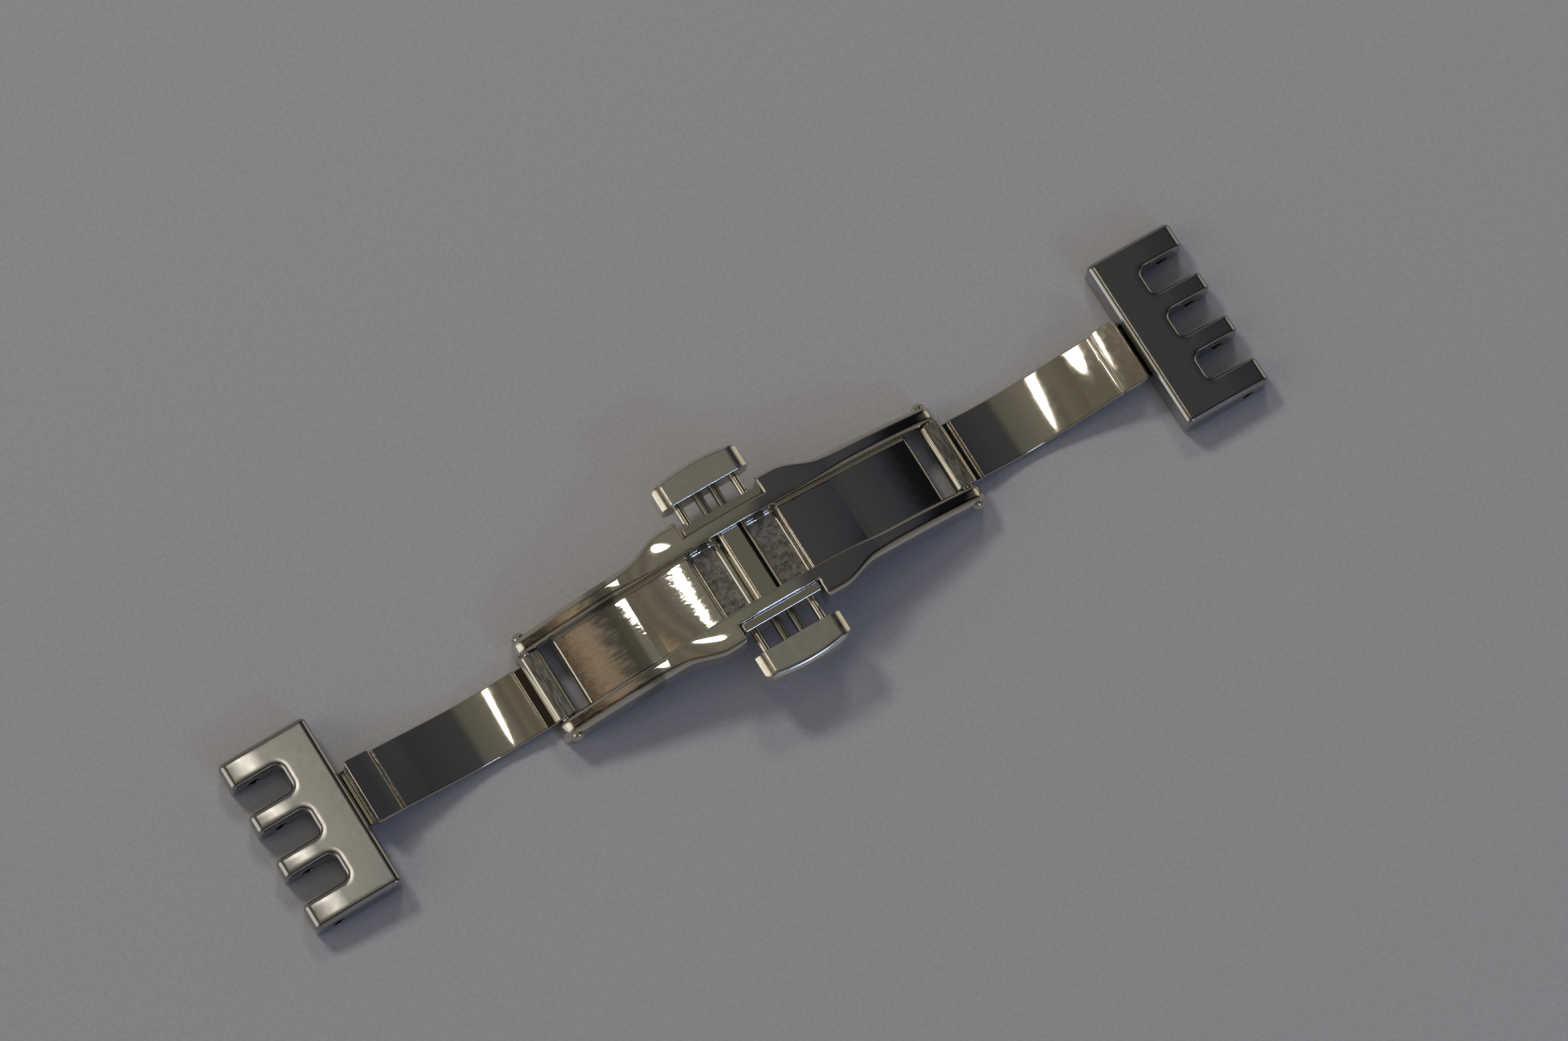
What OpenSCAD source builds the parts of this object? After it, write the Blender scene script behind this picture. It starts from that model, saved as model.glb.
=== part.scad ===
// Double folding watch clasp with two side pushers, lying open with its outward side up.
// X runs along the bracelet, Y across it and Z up. The origin is the middle of the footprint.

/* [Base frame] */
// Distance of each hinge axis from the middle of the clasp
hinge_x = 21.6; // [21.3:0.1:22.4]
// Height of the hinge axes above the table
hinge_z = 2.3; // [2.2:0.05:2.8]
// Rise of the rail tops above the hinge axes at the middle
crown_rise = 4.5; // [4.3:0.05:4.9]
// Radius of the middle arc of the rails
mid_r = 56; // [48:1:70]
// Half length of the middle arc
mid_half = 10.7; // [9:0.1:12]
// Length of the short flat between the middle arc and an end arc
flat_len = 0.8; // [0.4:0.1:1.6]
// Slope of the short flat in degrees
flat_slope = 8.5; // [7:0.5:10]
// Slope of an end arc where it begins, in degrees
outer_slope = 6; // [4:0.5:8]
// Radius of the end arcs
outer_r = 44; // [40:1:54]
// Height of the base at the middle, rail top to underside
base_h = 3.75; // [3.7:0.05:4.2]
// Half width of the base at the shoulders beside the pushers
shoulder_w = 6.6; // [6.3:0.05:7]
// Half width of the base where the shoulders have run out
waist_w = 5.55; // [5.4:0.05:6]
// Half width of the base at the hinge axes
end_w = 5.35; // [5.2:0.05:5.5]
// Distance from the middle at which the shoulder begins to narrow
shoulder_x = 6; // [5.4:0.1:7]
// Length over which the shoulder narrows
shoulder_run = 4.4; // [3.4:0.1:5.4]
// Reach of the rail ends beyond the hinge axis
rail_nose = 1.05; // [0.9:0.05:1.3]
// Corner radius of the rail ends in plan
rail_corner = 0.5; // [0.3:0.05:0.8]
// Half width of the channel between the rails
channel_w = 3.55; // [3.5:0.05:3.7]
// Depth of the channel floor below the rail tops
channel_d = 1.6; // [1.4:0.05:1.7]
// Thickness of the channel floor outside the latch housing
floor_t = 1.1; // [0.9:0.05:1.4]
// Distance from the hinge axis to the end of the channel floor
floor_gap = 2.45; // [2:0.05:2.8]
// Length of the flat foot under each hinge, inwards from the axis
foot_len = 0.7; // [0.4:0.05:1]

/* [Pockets and crossbar] */
// Distance of a pocket's inner wall from the middle
pocket_in = 1.7; // [1.65:0.05:1.8]
// Distance of a pocket's outer wall from the middle
pocket_out = 4.65; // [4.55:0.05:4.8]
// Depth of the pocket floors below the rail tops
pocket_d = 2.6; // [2.5:0.05:2.65]
// Half width of the top of the crossbar
bar_w = 1.25; // [1.2:0.05:1.5]
// Depth of the crossbar's top below the rail tops
bar_d = 0.8; // [0.6:0.05:0.95]
// Thickness of the crossbar's foot
bar_foot = 0.2; // [0.15:0.05:0.3]
// Radius on the crossbar's top edges
bar_round = 0.35; // [0.2:0.05:0.45]

/* [Hinges] */
// Radius of the hinge pins
pin_r = 0.6; // [0.5:0.05:0.65]
// Radius of the domed pin heads
head_r = 0.72; // [0.65:0.01:0.9]
// Height of the domed pin heads
head_h = 0.5; // [0.35:0.05:0.7]
// Length of the collar behind a pressed-on pin head
cap_seat = 0.9; // [0.6:0.05:1.2]
// Radius of the neck of the pin that the pressed-on head takes
pin_neck_r = 0.35; // [0.3:0.05:0.4]
// Running clearance of the pins and sliding stems, on the radius
run_clear = 0.04; // [0.03:0.01:0.06]

/* [Blades] */
// Half width of the blades
blade_w = 3.2; // [3:0.05:3.3]
// Thickness of the blades
blade_t = 1; // [0.9:0.05:1.05]
// Radius of the barrel that turns on the hinge pin
barrel_r = 1.15; // [1.05:0.05:1.25]
// Height of the flat on the barrel above the axis
barrel_flat = 0.9; // [0.8:0.05:1]
// Side clearance of the barrel between the rails
barrel_clear = 0.1; // [0.05:0.01:0.15]
// Distance from the hinge axis to the start of the blade
blade_start = 1.8; // [1.6:0.05:2]
// Distance from the hinge axis to the lowest point of the blade
blade_low_u = 7; // [6:0.1:8]
// Depth of the blade's lowest point below the hinge axis
blade_low_w = 1; // [0.9:0.05:1.15]
// Radius of the long curve of the blade
blade_r = 38; // [34:1:44]
// Distance from the hinge axis at which the blade's end levels out
blade_turn = 15; // [14:0.1:16]
// Radius with which the blade's end levels out
blade_end_r = 20; // [18:1:26]

/* [Catch blocks] */
// Distance from the hinge axis to the near side of a catch block
block_near = 17.4; // [17.3:0.02:17.5]
// Length of a catch block
block_len = 2.5; // [2.3:0.02:2.55]
// Height of the block's top above the hinge axis
block_top = 1.2; // [1.1:0.02:1.25]
// Half width of the lip of a catch block
lip_w = 3.25; // [3.2:0.01:3.3]
// Thickness of the lip
lip_t = 0.35; // [0.3:0.01:0.4]
// Depth of the side grooves behind the lip
groove_d = 0.25; // [0.2:0.01:0.35]
// Radius of the stud that holds a block in its blade
stud_r = 0.5; // [0.4:0.05:0.7]

/* [End plates] */
// Length of an end plate along the bracelet
plate_len = 9.15; // [8.8:0.05:9.4]
// Width of an end plate across the bracelet
plate_w = 18; // [17:0.1:20]
// Thickness of an end plate
plate_t = 2.85; // [2.7:0.05:3]
// Tilt of the end plates in degrees, fingers down
plate_tilt = 2; // [1.5:0.1:2.5]
// Distance from the hinge axis to the inner face of the open plate
plate_reach = 20.65; // [20.5:0.01:20.7]
// Width of each slot between the fingers
slot_w = 2.8; // [2.6:0.05:3]
// Length of the slots between the fingers
slot_len = 5; // [4.6:0.05:5.1]
// Width of each inner finger
finger_w = 2.05; // [1.8:0.05:2.3]
// Corner radius at the inner ends of the slots
slot_corner = 0.7; // [0.4:0.05:0.9]
// Distance from the inner face at which the fingers begin to curve down
roll_start = 5.2; // [4.4:0.1:6.1]
// Radius of the fingers' downward curve
roll_r = 45; // [38:1:60]
// Radius on the plate's inner top edge
plate_round = 0.4; // [0.25:0.05:0.6]
// Radius on the finger tips
tip_round = 0.55; // [0.4:0.05:0.7]
// Radius of the bore that takes the bracelet's pin
strap_bore_r = 0.6; // [0.5:0.05:0.65]
// Distance of the bracelet pin bore from the finger tips
strap_bore_in = 2.3; // [2:0.05:2.6]
// Height of the bracelet pin bore above the plate's underside
strap_bore_up = 1.05; // [1:0.05:1.2]

/* [Plate pivots] */
// Radius of the pivot pins
pivot_r = 0.3; // [0.25:0.01:0.32]
// Radius of the blade's knuckle round the pivot pin
knuckle_r = 0.55; // [0.5:0.01:0.56]
// Distance of the pivot from the plate's inner face
pivot_in = 0.7; // [0.68:0.01:0.74]
// Height of the pivot above the plate's underside
pivot_up = 0.62; // [0.6:0.01:0.66]
// Half width of the knuckle
knuckle_w = 2.9; // [2.6:0.05:3]
// Half length of the pivot pins
pivot_half = 4.2; // [3.8:0.05:4.6]
// Side and end clearance of the knuckle in the plate
knuckle_clear = 0.15; // [0.1:0.01:0.2]
// Length of the recess under the plate
recess_len = 2.6; // [2.5:0.05:3]
// Height of the recess under the plate
recess_h = 1.8; // [1.7:0.05:1.9]
// Gap between the rail tops and the closed plates
fold_gap = 0.2; // [0.15:0.01:0.3]

/* [Pushers] */
// Half length of the side notches that take the pushers
notch_half = 4.3; // [4.2:0.01:4.5]
// Distance of the notch's inner wall from the middle line
notch_y = 4.8; // [4.78:0.01:4.85]
// Half length of the retainer plates
retainer_half = 4.1; // [4:0.01:4.2]
// Thickness of the retainer plates
retainer_t = 0.96; // [0.9:0.01:1.1]
// Depth of a retainer plate's top below the rail tops
retainer_top = 0.35; // [0.2:0.05:0.5]
// Height of the retainer plates
retainer_h = 3.1; // [3.05:0.05:3.2]
// Half length of a pusher cap
cap_half = 4.65; // [4.5:0.05:5]
// Distance of a cap's inner face from the middle line
cap_in = 8.03; // [7.9:0.01:8.2]
// Distance of a cap's outer face from the middle line
cap_out = 11.05; // [10.8:0.05:11.4]
// Height of a pusher cap
cap_h = 2.9; // [2.7:0.05:2.9]
// Radius of the crown on a cap's outer face
cap_crown = 20; // [18:1:40]
// Length of the bevel at each end of a cap
cap_bevel = 0.85; // [0.6:0.05:1.2]
// Drop of the bevel at each end of a cap
cap_bevel_d = 0.5; // [0.3:0.05:0.8]
// Radius on the outer edges of a cap
cap_round = 0.6; // [0.4:0.05:0.8]
// Height of the stems and posts below the rail tops
stem_down = 2.05; // [2.02:0.01:2.08]
// Radius of the stems and posts
stem_r = 0.45; // [0.42:0.01:0.46]
// Distance of the sliding stems from the middle
stem_x = 0.83; // [0.82:0.01:0.84]
// Distance of the fixed posts from the middle
post_x = 3.02; // [2.9:0.01:3.1]
// Depth of the stems in the cap
stem_seat = 1.6; // [1.2:0.1:2]
// Distance of the outer ends of the posts from the middle line
post_end = 9; // [8.9:0.05:9.2]
// Length of the springs at rest
spring_len = 1.4; // [1.2:0.05:1.5]
// Thickness of the spring's wall
spring_wall = 0.16; // [0.1:0.01:0.2]
// Travel of a pusher
travel = 0.85; // [0.75:0.01:0.87]

/* [Latch sliders] */
// Thickness of the slider's tongue and crosspiece
tongue_t = 0.35; // [0.3:0.01:0.38]
// Half width of the slider's tongue
tongue_w = 0.3; // [0.25:0.01:0.31]
// Distance of the link from the middle line at its inner side
link_in = 2.1; // [2:0.05:2.2]
// Length of the link that joins the stems
link_len = 0.85; // [0.7:0.05:0.9]
// Distance of a slider's far side from the middle line
slider_far = 3.85; // [3.82:0.01:3.88]
// Depth of the crosspiece's underside below the rail tops
cross_down = 3.3; // [3.28:0.01:3.32]
// Distance of the hook tips from the middle line
hook_in = 3.1; // [3.05:0.01:3.15]
// Half width of a hook
hook_w = 0.42; // [0.38:0.01:0.45]
// Thickness of the upright part of a hook
hook_t = 0.27; // [0.24:0.01:0.28]
// Depth of a hook's top below the rail tops
hook_down = 1.35; // [1.32:0.01:1.38]
// Height of a hook's tip
hook_h = 0.33; // [0.3:0.01:0.34]
// Clearance round the sliders
slide_clear = 0.06; // [0.04:0.01:0.07]

/* [Hidden] */
$fn = 64;

steel = [0.56, 0.54, 0.50];
satin = [0.50, 0.48, 0.44];
cut = 0.5;
lap = 0.05;
bar_bed = 0.05;
cavity_end = 0.15;
cross_back = 0.1;
channel_last = 0.2;
foot_bevel = 0.4;
relief_in = 0.6;
relief_out = 0.4;
low_bevel = 0.15;
tip_flat = 0.6;
recess_side = 0.6;
web_top = 0.8;
web_down = 0.3;
web_lap = 0.2;
neck_lap = 0.3;
neck_share = 0.9;
stud_lap = 0.2;
spring_r = stem_r - 0.02;
crown_z = hinge_z + crown_rise;
flat_x = mid_half + flat_len;
mid_drop = mid_r - sqrt(mid_r * mid_r - mid_half * mid_half);
flat_drop = mid_drop + flat_len * tan(flat_slope);
under_z = crown_z - base_h;
rail_end = hinge_x + rail_nose;
under_x = hinge_x - foot_len;
under_r = (under_x * under_x + under_z * under_z) / (2 * under_z);
floor_end = hinge_x - floor_gap;
pocket_z = crown_z - pocket_d;
spine_z = crown_z - channel_d + bar_bed;
stem_z = crown_z - stem_down;
cavity_x = stem_x + stem_r + slide_clear;
cavity_z0 = stem_z - stem_r - slide_clear;
cavity_in = link_in - travel - cavity_end;
cross_z = crown_z - cross_down;
hook_z = crown_z - hook_down;
pivot_u = plate_reach + pivot_in * cos(plate_tilt) + pivot_up * sin(plate_tilt);
plate_lift = plate_len * sin(plate_tilt);
pivot_w = plate_lift + pivot_up * cos(plate_tilt) - pivot_in * sin(plate_tilt) - hinge_z;
plate_x = hinge_x + plate_reach;
pitch = slot_w + finger_w;
cap_z0 = stem_z - cap_h / 2;
cap_z1 = stem_z + cap_h / 2;

// Pose of the folded arm: the plates then lie this far above the rails
fold_rise = crown_rise + fold_gap + pivot_up;
arm_len = sqrt(pivot_u * pivot_u + pivot_w * pivot_w);
fold_angle = 180 - asin(fold_rise / arm_len) - atan2(pivot_w, pivot_u);
echo(fold_angle = fold_angle, pivot = [hinge_x + pivot_u, hinge_z + pivot_w],
    plate_meet = hinge_x - sqrt(arm_len * arm_len - fold_rise * fold_rise) - pivot_in);

// Fall of the rail tops below their crown at a distance x from the middle
function drop(x) = let (d = abs(x))
    d <= mid_half ? mid_r - sqrt(mid_r * mid_r - d * d) :
    d <= flat_x ? mid_drop + (d - mid_half) * tan(flat_slope) :
    flat_drop + outer_r * (cos(outer_slope)
        - sqrt(1 - pow(sin(outer_slope) + (d - flat_x) / outer_r, 2)));

// Stations along one half of the base, with one at each crease
stations = concat([for (i = [0:18]) mid_half * i / 18], [flat_x],
    [for (i = [1:20]) flat_x + (hinge_x - flat_x) * i / 20]);
stations_down = [for (i = [len(stations) - 1:-1:0]) stations[i]];

// Curve that lies a depth d below the rail tops, from the middle outwards and back
function curve_out(d) = [for (x = stations) [x, crown_z - d - drop(x)]];
function curve_both(d, far) = concat(
    [for (x = stations_down) if (x <= far) [-x, crown_z - d - drop(x)]],
    [for (x = stations) if (x <= far) [x, crown_z - d - drop(x)]]);

// Quarter of an ellipse about a centre, between two angles
function bow(cx, cy, rx, ry, a0, a1, n) =
    [for (i = [0:n]) let (a = a0 + (a1 - a0) * i / n) [cx + rx * cos(a), cy + ry * sin(a)]];

function flip(p) = [for (i = [len(p) - 1:-1:0]) [-p[i][0], p[i][1]]];

// Smooth step from 0 to 1
function ease(t) = let (c = min(1, max(0, t))) c * c * (3 - 2 * c);

// Half width of the base at a distance x from the middle
function half_w(x) = x < shoulder_x + shoulder_run ?
    shoulder_w - (shoulder_w - waist_w) * ease((x - shoulder_x) / shoulder_run) :
    waist_w - (waist_w - end_w) * (x - shoulder_x - shoulder_run)
        / (hinge_x - shoulder_x - shoulder_run);

// Height of the blade's upper face at a distance u from the hinge axis
turn_slope = (blade_turn - blade_low_u) / blade_r;
turn_w = pow(blade_turn - blade_low_u, 2) / (2 * blade_r) - blade_low_w;
function blade_w_at(u) = u <= blade_turn ?
    pow(u - blade_low_u, 2) / (2 * blade_r) - blade_low_w :
    turn_w + turn_slope * (u - blade_turn) - pow(u - blade_turn, 2) / (2 * blade_end_r);

// Slab with its outline in XZ, between two values of Y
module side_slab(p, y0, y1) {
    translate([0, y1, 0]) rotate([90, 0, 0]) linear_extrude(y1 - y0) polygon(p);
}

// Cylinder along Y
module rod(r, x, z, y0, y1) {
    translate([x, y1, z]) rotate([90, 0, 0]) cylinder(h = y1 - y0, r = r);
}

// Box given by its lowest and highest corners
module block(a, b) {
    translate(a) cube(b - a);
}

// The same piece on the right and mirrored to the left
module mirror_x(left) {
    mirror([left ? 1 : 0, 0, 0]) children();
}

// The same piece at the front and turned round to the back
module turn_z(back) {
    rotate([0, 0, back ? 180 : 0]) children();
}

module base_outline() {
    top = curve_out(0);
    tip = bow(hinge_x, hinge_z, rail_nose, crown_rise - drop(hinge_x), 80, 0, 8);
    foot = [[rail_end, foot_bevel], [rail_end - foot_bevel, 0], [under_x, 0]];
    under = [for (i = [15:-1:0]) let (x = under_x * i / 16)
        [x, under_z - under_r + sqrt(under_r * under_r - x * x)]];
    half = concat(top, tip, foot, under);
    side_slab(concat(half, flip(half)), -shoulder_w - cut, shoulder_w + cut);
}

module base_plan() {
    n = 12;
    side = concat([[0, shoulder_w], [shoulder_x, shoulder_w]],
        [for (i = [1:n]) let (x = shoulder_x + shoulder_run * i / n) [x, half_w(x)]],
        [[hinge_x, end_w]],
        bow(rail_end - rail_corner, end_w - rail_corner, rail_corner, rail_corner, 90, 0, 5));
    right = concat(side, [for (i = [len(side) - 1:-1:0]) [side[i][0], -side[i][1]]]);
    for (m = [0, 1]) mirror([m, 0, 0]) linear_extrude(crown_z + cut) polygon(right);
}

module channel_cut() {
    far = floor_end;
    z_far = crown_z - channel_d - drop(far);
    inner = curve_both(channel_d, far - channel_last);
    side_slab(concat(inner, [[far, z_far], [far, crown_z + cut], [-far, crown_z + cut],
        [-far, z_far]]), -channel_w, channel_w);
    for (s = [-1, 1])
        block([s > 0 ? far : -rail_end - cut, -channel_w, -cut],
            [s > 0 ? rail_end + cut : -far, channel_w, crown_z + cut]);
}

module underside_cut() {
    near = pocket_out + relief_in;
    far = floor_end - relief_out;
    pts = concat([for (x = stations) if (x > near && x < far)
        [x, crown_z - channel_d - floor_t - drop(x)]], [[far, -cut], [near, -cut],
        [near, crown_z - channel_d - floor_t - drop(near)]]);
    for (m = [0, 1]) mirror([m, 0, 0]) side_slab(pts, -channel_w, channel_w);
}

module latch_housing_cut() {
    web_x = tongue_w + slide_clear;
    top = spine_z;
    block([-web_x, -notch_y - cut, cavity_z0], [web_x, notch_y + cut, top]);
    for (m = [0, 1]) mirror([0, m, 0]) {
        block([-cavity_x, cavity_in, cavity_z0], [cavity_x, notch_y + cut, top]);
        block([-web_x, hook_in - cross_back, cross_z - slide_clear], [web_x, notch_y + cut, top]);
        block([-post_x - hook_w - slide_clear, hook_in, cross_z - slide_clear],
            [post_x + hook_w + slide_clear, notch_y + cut, cross_z + tongue_t + slide_clear]);
        for (s = [-1, 1])
            block([s * post_x - hook_w - slide_clear, channel_w - lap, cross_z - slide_clear],
                [s * post_x + hook_w + slide_clear, notch_y + cut, hook_z + slide_clear]);
    }
}

module base_frame() {
    color(steel) difference() {
        intersection() {
            base_outline();
            base_plan();
        }
        difference() {
            channel_cut();
            block([-pocket_in, -channel_w - cut, 0], [pocket_in, channel_w + cut, spine_z]);
        }
        for (s = [-1, 1]) {
            x0 = s > 0 ? pocket_in : -pocket_out;
            block([x0, -channel_w, pocket_z],
                [x0 + pocket_out - pocket_in, channel_w, crown_z + cut]);
            block([-notch_half, s > 0 ? notch_y : -shoulder_w - cut, -cut],
                [notch_half, s > 0 ? shoulder_w + cut : -notch_y, crown_z + cut]);
            rod(pin_r, s * hinge_x, hinge_z, -shoulder_w, shoulder_w);
        }
        underside_cut();
        latch_housing_cut();
    }
}

module crossbar() {
    top = crown_z - bar_d;
    r = bar_round;
    side = concat([[pocket_in, spine_z], [pocket_in, spine_z + bar_foot],
        [bar_w, spine_z + bar_foot]], bow(bar_w - r, top - r, r, r, 0, 90, 6));
    color(steel) side_slab(concat(side, flip(side)), -channel_w, channel_w);
}

module retainer_plate(back) {
    z1 = crown_z - retainer_top;
    color(steel) turn_z(back) difference() {
        block([-retainer_half, -notch_y - retainer_t, z1 - retainer_h],
            [retainer_half, -notch_y, z1]);
        for (s = [-1, 1]) {
            rod(stem_r + run_clear, s * stem_x, stem_z, -notch_y - retainer_t - cut,
                -notch_y + cut);
            rod(stem_r, s * post_x, stem_z, -notch_y - retainer_t - cut, -notch_y + cut);
        }
    }
}

module guide_posts(back) {
    color(steel) turn_z(back) for (s = [-1, 1]) rod(stem_r, s * post_x, stem_z, -post_end, -notch_y);
}

// Domed head, flat side at y = 0 and dome towards -Y
module dome() {
    big = (head_r * head_r + head_h * head_h) / (2 * head_h);
    rotate([90, 0, 0]) intersection() {
        cylinder(h = head_h, r = head_r);
        translate([0, 0, head_h - big]) sphere(r = big);
    }
}

module hinge_pin(left) {
    x = left ? -hinge_x : hinge_x;
    color(steel) {
        rod(pin_r, x, hinge_z, -end_w, end_w - cap_seat);
        rod(pin_neck_r, x, hinge_z, end_w - cap_seat, end_w);
        translate([x, -end_w, hinge_z]) dome();
    }
}

module hinge_pin_head(left) {
    x = left ? -hinge_x : hinge_x;
    color(steel) {
        difference() {
            rod(pin_r, x, hinge_z, end_w - cap_seat, end_w);
            rod(pin_neck_r, x, hinge_z, end_w - cap_seat - cut, end_w + cut);
        }
        translate([x, end_w, hinge_z]) rotate([0, 0, 180]) dome();
    }
}

// The arm's shapes below lie in its own frame: u away from the hinge axis, w up
module blade_shape() {
    n = 36;
    far = block_near + block_len;
    us = [for (i = [0:n]) blade_start + (far - blade_start) * i / n];
    upper = [for (u = us) [u, blade_w_at(u)]];
    lower = [for (i = [n:-1:0]) [us[i], blade_w_at(us[i]) - blade_t]];
    side_slab(concat(upper, lower), -blade_w, blade_w);
    w0 = blade_w_at(blade_start);
    side_slab([[0, -barrel_r * web_top], [blade_start, w0 - web_down],
        [blade_start + web_lap, w0 - blade_t], [blade_start, w0 - blade_t], [0, -barrel_r]],
        -blade_w, blade_w);
}

module barrel_shape() {
    half = channel_w - barrel_clear;
    intersection() {
        rod(barrel_r, 0, 0, -half, half);
        block([-barrel_r - cut, -half, -barrel_r - cut], [barrel_r + cut, half, barrel_flat]);
    }
}

module neck_shape() {
    far = block_near + block_len;
    a = [far - neck_lap, blade_w_at(far) - blade_t / 2];
    b = [pivot_u, pivot_w];
    d = (b - a) / norm(b - a);
    nrm = [-d[1], d[0]];
    half = knuckle_r * neck_share;
    side_slab([a + nrm * half, b + nrm * half, b - nrm * half, a - nrm * half],
        -knuckle_w, knuckle_w);
    rod(knuckle_r, pivot_u, pivot_w, -knuckle_w, knuckle_w);
}

module blade(left) {
    mid = block_near + block_len / 2;
    color(steel) mirror_x(left) translate([hinge_x, 0, hinge_z]) difference() {
        union() {
            blade_shape();
            barrel_shape();
            neck_shape();
        }
        rod(pin_r + run_clear, 0, 0, -channel_w, channel_w);
        rod(pivot_r + run_clear, pivot_u, pivot_w, -knuckle_w - cut, knuckle_w + cut);
        translate([mid, 0, -hinge_z]) cylinder(h = 2 * hinge_z, r = stud_r);
    }
}

module catch_block(left) {
    far = block_near + block_len;
    n = 6;
    us = [for (i = [0:n]) block_near + block_len * i / n];
    body = concat([for (u = us) [u, blade_w_at(u)]],
        [[far, block_top - lip_t], [block_near, block_top - lip_t]]);
    mid = block_near + block_len / 2;
    mid_w = blade_w_at(mid);
    color(steel) mirror_x(left) translate([hinge_x, 0, hinge_z]) {
        side_slab(body, -lip_w + groove_d, lip_w - groove_d);
        block([block_near, -lip_w, block_top - lip_t], [far, lip_w, block_top]);
        translate([mid, 0, mid_w - blade_t]) cylinder(h = blade_t + stud_lap, r = stud_r);
    }
}

// End plate in its own frame: a along the bracelet from the inner face, b up from the underside
module plate_profile() {
    top_r = plate_round;
    low_r = tip_round * tip_flat;
    n = 10;
    roll = [for (i = [0:n]) let (a = roll_start + (plate_len - tip_round - roll_start) * i / n)
        [a, plate_t - pow(a - roll_start, 2) / (2 * roll_r)]];
    last = roll[n][1];
    side_slab(concat(
        [[low_bevel, 0], [0, low_bevel]],
        bow(top_r, plate_t - top_r, top_r, top_r, 180, 90, 6), roll,
        bow(plate_len - tip_round, last - tip_round, tip_round, tip_round, 75, 0, 5),
        bow(plate_len - tip_round, low_r, tip_round, low_r, 0, -90, 5)),
        -plate_w / 2, plate_w / 2);
}

module plate_slots() {
    a0 = plate_len - slot_len;
    r = slot_corner;
    for (i = [-1, 0, 1]) {
        y0 = i * pitch - slot_w / 2;
        block([a0 + r, y0, -cut], [plate_len + cut, y0 + slot_w, plate_t + cut]);
        block([a0, y0 + r, -cut], [a0 + r, y0 + slot_w - r, plate_t + cut]);
        for (y = [y0 + r, y0 + slot_w - r])
            translate([a0 + r, y, -cut]) cylinder(h = plate_t + 2 * cut, r = r);
    }
}

module end_plate(left) {
    half = knuckle_w + knuckle_clear;
    color(satin) mirror_x(left) translate([plate_x, 0, plate_lift])
        rotate([0, plate_tilt, 0]) difference() {
            plate_profile();
            plate_slots();
            block([-cut, -blade_w - knuckle_clear, -cut],
                [recess_len, blade_w + knuckle_clear, recess_h * recess_side]);
            block([-cut, -half, -cut], [recess_len, half, recess_h]);
            rod(pivot_r, pivot_in, pivot_up, -pivot_half - lap, pivot_half + lap);
            rod(strap_bore_r, plate_len - strap_bore_in, strap_bore_up,
                -plate_w, plate_w);
        }
}

module pivot_pin(left) {
    color(steel) mirror_x(left) translate([hinge_x, 0, hinge_z])
        rod(pivot_r, pivot_u, pivot_w, -pivot_half, pivot_half);
}

module pusher_cap(back) {
    ce = cap_half - cap_bevel;
    crown = [for (i = [-8:8]) let (x = ce * i / 8)
        [x, -cap_out + cap_crown - sqrt(cap_crown * cap_crown - x * x)]];
    edge = -cap_out + cap_crown - sqrt(cap_crown * cap_crown - ce * ce);
    plan = concat([[-cap_half, -cap_in], [-cap_half, edge + cap_bevel_d]], crown,
        [[cap_half, edge + cap_bevel_d], [cap_half, -cap_in]]);
    r = cap_round;
    color(steel) turn_z(back) difference() {
        intersection() {
            translate([0, 0, cap_z0]) linear_extrude(cap_h) polygon(plan);
            translate([-cap_half, 0, 0]) rotate([90, 0, 90]) linear_extrude(2 * cap_half)
                polygon(concat([[-cap_in, cap_z1], [-cap_in, cap_z0]],
                    bow(-cap_out + r, cap_z0 + r, r, r, 270, 180, 6),
                    bow(-cap_out + r, cap_z1 - r, r, r, 180, 90, 6)));
            side_slab([[-cap_half, cap_z0 + cap_bevel_d], [-ce, cap_z0], [ce, cap_z0],
                [cap_half, cap_z0 + cap_bevel_d], [cap_half, cap_z1 - cap_bevel_d],
                [ce, cap_z1], [-ce, cap_z1], [-cap_half, cap_z1 - cap_bevel_d]],
                -cap_out - cut, -cap_in);
        }
        for (s = [-1, 1]) {
            rod(stem_r + run_clear, s * post_x, stem_z, -post_end - spring_len, -cap_in + cut);
            rod(stem_r, s * stem_x, stem_z, -cap_in - stem_seat, -cap_in + cut);
        }
    }
}

// Slider that a front cap moves: its hooks rise in the back wall of the pockets
module latch_slider(back) {
    z0 = back ? stem_z - stem_r + lap : stem_z + stem_r - lap - tongue_t;
    z1 = z0 + tongue_t;
    color(satin) turn_z(back) {
        for (s = [-1, 1]) rod(stem_r, s * stem_x, stem_z, -cap_in - stem_seat, -link_in);
        block([-stem_x, -link_in - link_len, z0], [stem_x, -link_in, z1]);
        block([-tongue_w, -link_in - link_len, z0], [tongue_w, slider_far, z1]);
        block([-tongue_w, hook_in, cross_z], [tongue_w, slider_far, z1]);
        block([-post_x - hook_w, hook_in + cross_back, cross_z],
            [post_x + hook_w, slider_far, cross_z + tongue_t]);
        for (s = [-1, 1]) {
            block([s * post_x - hook_w, slider_far - hook_t, cross_z],
                [s * post_x + hook_w, slider_far, hook_z]);
            block([s * post_x - hook_w, hook_in, hook_z - hook_h],
                [s * post_x + hook_w, slider_far, hook_z]);
        }
    }
}

module pusher_springs(back) {
    color(satin) turn_z(back) for (s = [-1, 1]) difference() {
        rod(spring_r, s * post_x, stem_z, -post_end - spring_len, -post_end);
        rod(spring_r - spring_wall, s * post_x, stem_z, -post_end - spring_len - cut,
            -post_end + cut);
    }
}

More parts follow.
